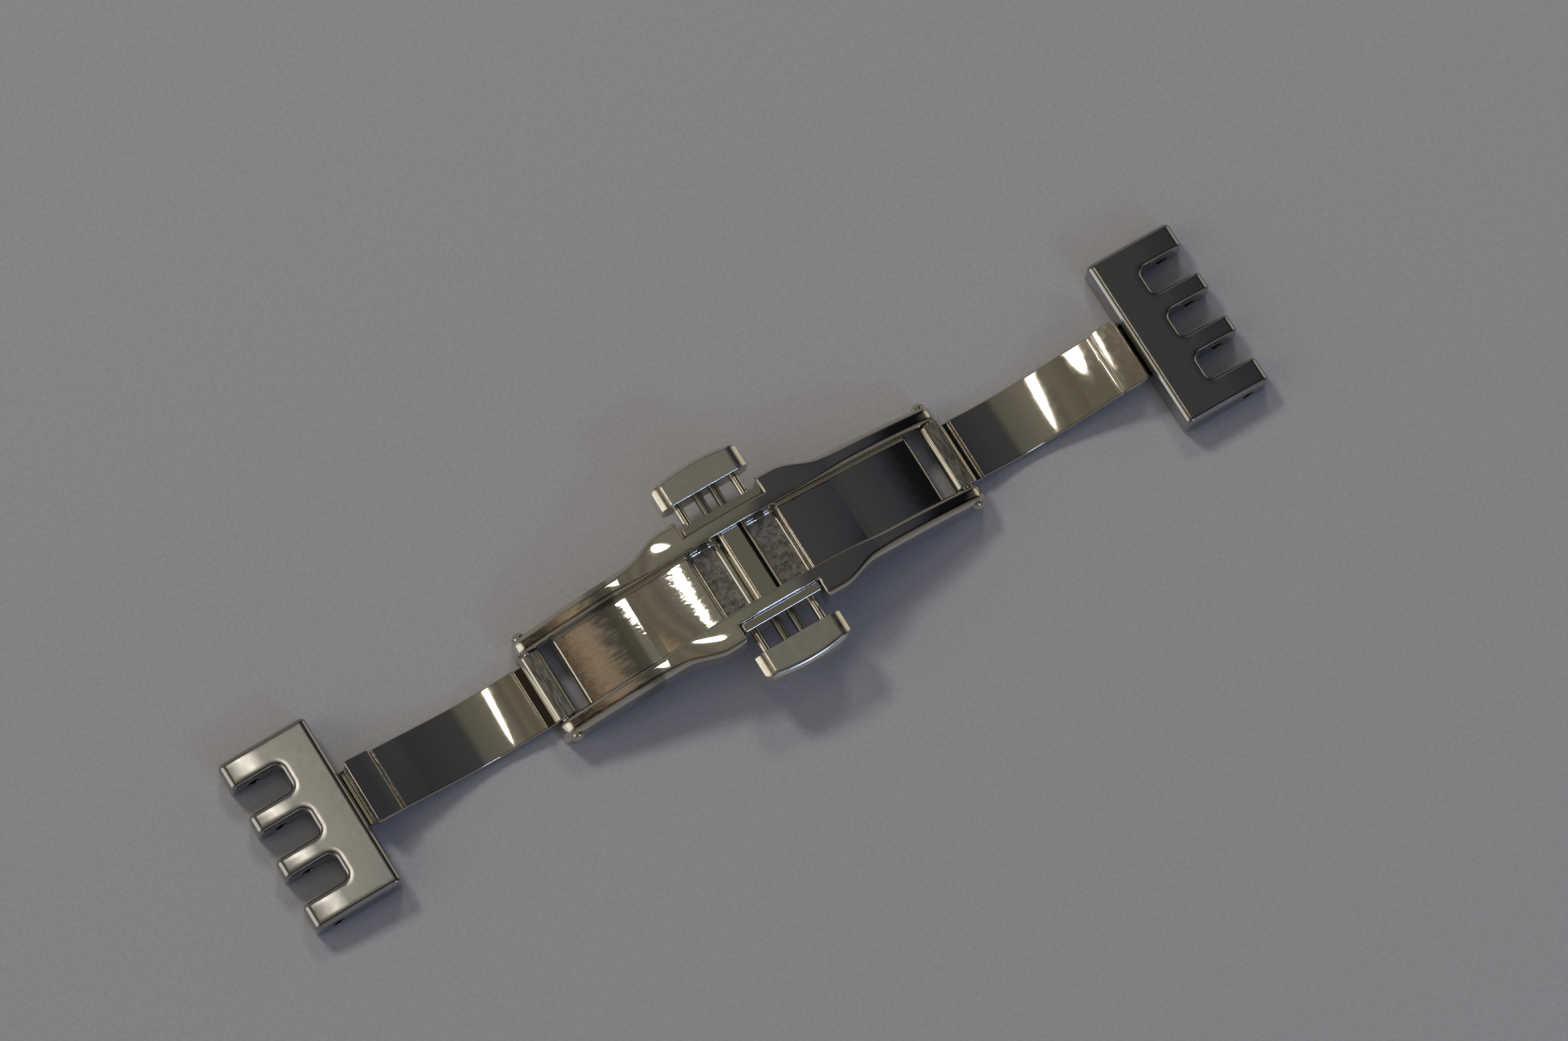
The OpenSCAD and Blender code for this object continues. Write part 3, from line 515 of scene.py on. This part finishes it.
# Hinge pins: turned and hardened steel pins through the rails, with a domed and polished head at
# the front. The domed head at the back is a cap that is pressed on the pin's neck after the arm
# is in place.
HINGE_X, HINGE_Z, END_W = 21.6, 2.3, 5.35
PIN_R, NECK_R, NECK_LEN, HEAD_R, HEAD_H = 0.6, 0.35, 0.9, 0.72, 0.5
DOME_R = (HEAD_R ** 2 + HEAD_H ** 2) / (2 * HEAD_H)


def head_dome(x, y, z):
    ball = np.sqrt(x * x + (y + HEAD_H - DOME_R) ** 2 + z * z) - DOME_R
    return both(ball, y, 0.04)


def pin_solid(x, y, z):
    shaft = both(round_bar(x, z, PIN_R), span(y, -END_W, END_W - NECK_LEN), 0.03)
    neck = np.maximum(round_bar(x, z, NECK_R), span(y, -END_W, END_W))
    return np.minimum(np.minimum(shaft, neck), head_dome(x, y + END_W, z))


def pin_head_solid(x, y, z):
    collar = np.maximum(np.maximum(round_bar(x, z, PIN_R), -round_bar(x, z, NECK_R)),
                        span(y, END_W - NECK_LEN, END_W))
    return np.minimum(collar, head_dome(x, END_W - y, z))


pin = skin(pin_solid, (-0.72, -5.85, -0.72), (0.72, 5.35, 0.72), 0.05)
pin_head = skin(pin_head_solid, (-0.72, 4.45, -0.72), (0.72, 5.85, 0.72), 0.05)
for where, sign in (("right", 1), ("left", -1)):
    at = (sign * HINGE_X, 0, HINGE_Z)
    piece("hinge_pin_" + where, pin, [mirror], "base", shift=at)
    piece("hinge_pin_head_" + where, pin_head, [mirror], "base", shift=at)

# Blades: the arms of the fold, of hardened steel sheet 1 mm thick, bent to a long hollow bow and
# polished. A barrel turns on the hinge pin, and a knuckle at the far end carries the end plate.
# They are drawn along u and w, which start at the hinge.
BLADE_W, BLADE_T, BLADE_START, BLADE_FAR = 3.2, 1, 2.0, 19.9
BOW_U, BOW_END, BOW_RUN, BOW_SLOPE, BOW_LOW = 7, 14.3, 4.75, 0.25, 1.24
RISE, RISE_LEN, STEP_U, STEP_RUN, STEP_DOWN = 0.2, 3.1, 17.2, 0.5, 0.19
DENT, DENT_U, DENT_RUN, DENT_Y, DENT_Y_RUN, BLADE_CROWN_R = 0.05, 15.3, 0.35, -2.5, 5.5, 110
GROOVE_START, GROOVE_END, GROOVE_D, GROOVE_EDGE = 17.0, 17.3, 0.15, 0.05
BARREL_R, BARREL_HALF, FLAT_W = 1.15, 3.45, 0.9
WEB_START, WEB_END, WEB_R = (0.3, -0.72), (2.7, -1.42), 0.12
PIVOT_U, PIVOT_W, KNUCKLE_R, KNUCKLE_HALF, PIVOT_BORE_R = 21.371, -1.3855, 0.55, 2.9, 0.34
FLIP_X = np.diag([-1, 1, 1])
ENDS = (("right", np.eye(3)), ("left", FLIP_X))


# Height of the blade's top. It is crowned across, and pressed in by 0.05 mm towards the back
# where the bow ends, which bends the stripes of light there.
def blade_top(u, y=0):
    bow = (BOW_SLOPE * BOW_RUN * np.log(np.cosh((np.minimum(u, BOW_END) - BOW_U) / BOW_RUN))
           - BOW_LOW)
    rise = RISE * np.clip(u - BOW_END, 0, RISE_LEN)
    dent = (DENT * ease((y - DENT_Y) / DENT_Y_RUN)
            / (1 + np.exp(np.clip((DENT_U - u) / DENT_RUN, -30, 30))))
    step = STEP_DOWN * ease((u - STEP_U) / STEP_RUN)
    return bow + rise - step - dent - y * y / (2 * BLADE_CROWN_R)


# Bar of half thickness r along a straight line between two points
def strip(u, w, start, end, r):
    run, climb = end[0] - start[0], end[1] - start[1]
    t = np.clip(((u - start[0]) * run + (w - start[1]) * climb) / (run ** 2 + climb ** 2), 0, 1)
    return round_bar(u - start[0] - t * run, w - start[1] - t * climb, r)


def blade_solid(u, y, w):
    side = np.abs(y)
    top = blade_top(u, y)
    sheet = both(span(w, blade_top(u) - BLADE_T, top), span(u, BLADE_START, BLADE_FAR), 0.18)
    groove = both(GROOVE_START - u, u - GROOVE_END, GROOVE_EDGE)
    sheet = both(sheet, -both(groove, top - GROOVE_D - w, GROOVE_EDGE), GROOVE_EDGE)
    web = strip(u, w, WEB_START, WEB_END, WEB_R)
    leaf = both(either(sheet, web, 0.15), side - BLADE_W, 0.15)
    barrel = both(both(round_bar(u, w, BARREL_R), w - FLAT_W, 0.06), side - BARREL_HALF, 0.12)
    tail_start = (BLADE_FAR - 0.4, blade_top(BLADE_FAR) - BLADE_T / 2)
    tail = strip(u, w, tail_start, (PIVOT_U, PIVOT_W), BLADE_T / 2)
    tail = both(tail, side - KNUCKLE_HALF, 0.1)
    knuckle = round_bar(u - PIVOT_U, w - PIVOT_W, KNUCKLE_R)
    knuckle = both(knuckle, side - KNUCKLE_HALF, 0.08)
    solid = either(either(leaf, barrel, 0.1), np.minimum(tail, knuckle), 0.15)
    bores = np.minimum(round_bar(u, w, PIN_R + RUNNING_GAP),
                       round_bar(u - PIVOT_U, w - PIVOT_W, PIVOT_BORE_R))
    return np.maximum(solid, -bores)


# Ground steel: the barrel's top is ground flat along the hinge, which gives a dry streaky grey
# that hardly reflects. The strokes are about 0.05 mm apart and are drawn 0.15 mm apart, so that
# they show.
ground, tree = new_material("ground_steel_flat")
place = node(tree, "TexCoord").outputs["Object"]
drawn = node(tree, "Mapping", Vector=place, Scale=(1.0, 0.12, 1.0))
strokes = node(tree, "TexNoise", Vector=drawn.outputs["Vector"], Scale=1 / (0.15 * MM),
               Detail=5.0, Roughness=0.7)
tone = node(tree, "ValToRGB", Fac=strokes.outputs["Fac"])
tone.color_ramp.elements[0].position = 0.35
tone.color_ramp.elements[1].position = 0.65
tone.color_ramp.elements[0].color = linear("55534f")
tone.color_ramp.elements[1].color = linear("cfccc4")
gloss = node(tree, "MapRange", Value=strokes.outputs["Fac"], From_Min=0.3, From_Max=0.7,
             To_Min=0.28, To_Max=0.45)
scored = node(tree, "Bump", Height=strokes.outputs["Fac"], Strength=1.0, Distance=0.015 * MM)
shader = node(tree, "BsdfPrincipled", Base_Color=tone.outputs["Color"], Metallic=1.0,
              Roughness=gloss.outputs["Result"], Normal=scored.outputs["Normal"])
node(tree, "OutputMaterial", Surface=shader.outputs[0])


# The ground faces are the barrel's flat without its rounded edges
def on_flat(p):
    u, w = np.abs(p[:, 0]) - HINGE_X, p[:, 2] - HINGE_Z
    return (np.abs(u) < 0.62) & (w > FLAT_W - 0.08)


blade = skin(blade_solid, (-1.15, -3.45, -2.0), (21.95, 3.45, 0.95), 0.09)
for where, spin in ENDS:
    piece("blade_" + where, blade, [mirror, ground], "arm_" + where, spin,
          spin @ (HINGE_X, 0, HINGE_Z), on_flat)

# Catch blocks: small milled steel blocks with rounded corners, one riveted on each blade. The
# hooks of the sliders snap over their lips. Their crowns lean outward and fall to the front.
BLOCK_START, BLOCK_END, BLOCK_HALF, SUNK = 17.42, 19.88, 3.0, 0.3
LIP_START, LIP_END, LIP_HALF, LIP_T = 17.4, 19.9, 3.25, 0.35
BLOCK_TOP, BLOCK_LEAN, LEAN_START, LEAN_LEN = 0.88, 0.14, 17.5, 2.4
BLOCK_BEND, BEND_LEN, CREST_Y, CREST_R = 0.045, 0.95, 1, 60


def catch_solid(u, y, w):
    side = np.abs(y)
    body = both(span(u, BLOCK_START, BLOCK_END), side - BLOCK_HALF, 0.2)
    along = np.clip(u - LEAN_START, 0, LEAN_LEN)
    crown = (BLOCK_TOP + BLOCK_LEAN * along + BLOCK_BEND * along ** 2
             - BLOCK_BEND * np.maximum(along - BEND_LEN, 0) ** 2)
    top = crown - (y - CREST_Y) ** 2 / (2 * CREST_R)
    body = np.maximum(body, span(w, blade_top(u) - SUNK, top - 0.1))
    lip = both(span(u, LIP_START, LIP_END), side - LIP_HALF, 0.3)
    lip = both(lip, span(w, crown - LIP_T, top), 0.09)
    return either(body, lip, 0.05)


# Scuffed steel: polished, then rubbed by the hooks each time the clasp shuts. Its mirror is
# wavier, and its haze spreads the lamps into a soft glow.
scuffed = steel_finish("scuffed_steel", "cfcabf", 0.05, 0.003, 0.1)
block = skin(catch_solid, (17.4, -3.25, 0.0), (19.9, 3.25, 1.4), 0.06)
for where, spin in ENDS:
    piece("catch_block_" + where, block, [scuffed], "arm_" + where, spin,
          spin @ (HINGE_X, 0, HINGE_Z))

# End plates: solid steel plates, milled with three slots and finished satin. Their four fingers
# take the bracelet's links on a pin through the bore, and roll down over the links. Each plate
# turns on its blade's knuckle. Plates are drawn along a and b, from their inner lower edge.
PLATE_LEN, PLATE_W, PLATE_T, PLATE_TILT, PLATE_X = 9.15, 18, 2.85, math.radians(2), 20.65
PITCH, SLOT_W, SLOT_LEN, SLOT_R, SLOT_EDGE = 4.85, 2.8, 5.0, 0.7, 0.4
ROLL_START, ROLL_R, SOFT, SOFT_R = 5.2, 45, 0.8, 6
END_EDGE, SIDE_EDGE, LOWER_EDGE = 0.7, 0.5, 0.15
RECESS_LEN, RECESS_HALF, RECESS_TOP = 2.6, 3.35, 1.08
TAIL_HALF, TAIL_TOP = 3.05, 1.8
BORE_IN, BORE_Z, BORE_R = 2.3, 1.05, 0.6


def plate_solid(a, y, b):
    side = np.abs(y)
    between = np.abs(side - PITCH * np.round(side / PITCH))
    between = np.where(side > PITCH * 1.5, side - PITCH, between)
    slot = both(PLATE_LEN - SLOT_LEN - a, between - SLOT_W / 2, SLOT_R)
    edge = np.minimum(slot, PLATE_W / 2 - side)
    fall = (np.maximum(a - ROLL_START, 0) ** 2 / (2 * ROLL_R)
            + np.clip(SOFT - edge, 0, SOFT) ** 2 / (2 * SOFT_R))
    body = both(b - PLATE_T + fall, -a, END_EDGE)
    body = both(body, a - PLATE_LEN, END_EDGE)
    body = both(body, side - PLATE_W / 2, SIDE_EDGE)
    body = both(body, -b, LOWER_EDGE)
    body = both(body, -slot, SLOT_EDGE)
    recess = np.minimum(np.maximum(side - RECESS_HALF, b - RECESS_TOP),
                        np.maximum(side - TAIL_HALF, b - TAIL_TOP))
    body = both(body, -np.maximum(recess, a - RECESS_LEN), 0.08)
    bore = round_bar(a - PLATE_LEN + BORE_IN, b - BORE_Z, BORE_R)
    return both(body, -bore, 0.06)


# Satin steel: very finely brushed, so that no line shows at this size. It is a soft grey sheen
# that keeps only the large shapes of the room.
satin = steel_finish("satin_steel_plate", "adadac", 0.15, 0.0, 0.04)
plate = skin(plate_solid, (0, -9, 0), (9.15, 9, 2.85), 0.1)
c, s = math.cos(PLATE_TILT), math.sin(PLATE_TILT)
for where, spin in ENDS:
    lean = spin @ np.array([[c, 0, s], [0, 1, 0], [-s, 0, c]])
    at = spin @ (HINGE_X + PLATE_X, 0, PLATE_LEN * s)
    piece("end_plate_" + where, plate, [satin], "plate_" + where, lean, at)

# Pusher caps: milled steel buttons, crowned on the outer face and bevelled at both ends. Each is
# pressed on the two stems of its slider, and wells in it run on the guide posts.
CAP_OUT, CAP_IN, CAP_TALL, CAP_END, CAP_CROWN_R = 11.05, 8.03, 1.45, 4.65, 19
END_BEVEL_X, END_BEVEL_SIN, END_BEVEL_COS = 3.8, 0.507, 0.862
FACE_EDGE, BEVEL_EDGE, END_R, INNER_R = 0.6, 0.2, 0.25, 0.15
WELL_END, STEM_END = 10.4, 9.63


def pusher_solid(x, y, z):
    d = np.abs(x)
    face = -y - CAP_OUT + x * x / (2 * CAP_CROWN_R)
    tall = np.abs(z - STEM_Z) - CAP_TALL
    cap = both(face, tall, FACE_EDGE)
    bevel = END_BEVEL_SIN * (d - END_BEVEL_X) + END_BEVEL_COS * np.maximum(face, tall)
    cap = both(cap, bevel, BEVEL_EDGE)
    cap = both(both(cap, d - CAP_END, END_R), y + CAP_IN, INNER_R)
    wells = np.maximum(round_bar(d - POST_X, z - STEM_Z, STEM_R + RUNNING_GAP), -y - WELL_END)
    stems = np.maximum(round_bar(d - STEM_X, z - STEM_Z, STEM_R), -y - STEM_END)
    return np.maximum(cap, -np.minimum(wells, stems))


# Button steel: polished and then worn by fingers. It is the palest steel of the clasp, with a
# cloudy haze that breaks up its reflections.
button = steel_finish("button_steel", "e8e6de", 0.14, 0.005, 0.16)
cap = skin(pusher_solid, (-4.65, -11.05, 3.3), (4.65, -8.03, 6.2), 0.08)
for where, spin in SIDES:
    piece("pusher_cap_" + where, cap, [button], "pusher_" + where, spin)

# Latch sliders: cut and bent from steel sheet, and left as machined. Each has two round stems
# into its cap, a tongue under the crossbar, and a crosspiece with two upright hooks that hold
# the catch blocks. The back one lies lower, so that the two pass each other.
SHEET_T, TONGUE_HALF, HOOK_HALF, EASED = 0.35, 0.3, 0.42, 0.05
LINK_OUT, LINK_IN, FAR_Y, CROSS_Z, CROSS_HALF = 2.95, 2.1, 3.85, 3.5, 3.44
CROSS_Y, ARM_Y, TIP_Y, TIP_LOW, TIP_Z = 3.2, 3.58, 3.1, 5.12, 5.45


def slider_solid(sheet_z):
    def solid(x, y, z):
        d = np.abs(x)
        hook = np.abs(d - POST_X) - HOOK_HALF
        sheet = span(z, sheet_z, sheet_z + SHEET_T)
        stems = both(round_bar(d - STEM_X, z - STEM_Z, STEM_R), span(y, -STEM_END, -LINK_IN), 0.06)
        link = both(both(d - STEM_X, span(y, -LINK_OUT, -LINK_IN), EASED), sheet, EASED)
        tongue = both(both(d - TONGUE_HALF, span(y, -LINK_OUT, FAR_Y), EASED), sheet, EASED)
        riser = both(both(d - TONGUE_HALF, span(y, TIP_Y, FAR_Y), EASED),
                     span(z, CROSS_Z, sheet_z + SHEET_T), EASED)
        cross = both(both(d - CROSS_HALF, span(y, CROSS_Y, FAR_Y), EASED),
                     span(z, CROSS_Z, CROSS_Z + SHEET_T), EASED)
        arm = both(both(hook, span(y, ARM_Y, FAR_Y), 0.04), span(z, CROSS_Z, TIP_Z), EASED)
        tip = both(both(hook, span(y, TIP_Y, FAR_Y), 0.06), span(z, TIP_LOW, TIP_Z), 0.08)
        return np.minimum.reduce((stems, link, tongue, riser, cross, arm, tip))

    return solid


# Machined steel: rougher than the polished faces, with a broad dull shine. Its darker colour is
# painted shade, which makes the sliders' hooks look shaded down in the pockets.
machined_and_shaded = steel_finish("machined_and_shaded_steel", "8f8b82", 0.3, 0.001, 0.1)
for (where, spin), sheet_z in zip(SIDES, (4.8, 4.35)):
    slider = skin(slider_solid(sheet_z), (-3.5, -9.63, 3.5), (3.5, 3.85, 5.45), 0.07)
    piece("latch_slider_" + where, slider, [machined_and_shaded], "pusher_" + where, spin)

# Pusher springs: small coils of drawn steel wire in the wells of the caps, in front of the guide
# posts, loose but held in by the posts. They are drawn as short as a pressed cap leaves them,
# because a piece can't shorten.
COIL_R, WIRE_R, COIL_PITCH, COIL_LEN, COIL_Y = 0.33, 0.08, 0.18, 0.36, 9.09


def coil_solid(x, y, z):
    a, b = np.abs(x) - POST_X, z - STEM_Z
    along, turned = -COIL_Y - y, np.arctan2(b, a) / (2 * math.pi)
    nearest = np.clip((np.round(along / COIL_PITCH - turned) + turned) * COIL_PITCH, 0, COIL_LEN)
    return round_bar(np.hypot(a, b) - COIL_R, along - nearest, WIRE_R)


# Drawn spring wire: smooth from the die and grey, with a dull shine
spring_wire = steel_finish("drawn_spring_wire", "a8a59c", 0.25, 0.0, 0.1)
coil = skin(coil_solid, (-3.45, -9.55, 4.3), (3.45, -9.0, 5.2), 0.04)
for where, spin in SIDES:
    piece("pusher_springs_" + where, coil, [spring_wire], "base", spin)

# Pivot pins: short lengths of the same drawn wire, pushed through the end plates' recesses and
# the blades' knuckles last of all. They are plain round pins, so they keep their CAD nodes.
for side in ("right", "left"):
    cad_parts["pivot_pin_" + side].data.materials.clear()
    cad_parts["pivot_pin_" + side].data.materials.append(spring_wire)

bpy.context.scene.view_settings.view_transform = "Standard"
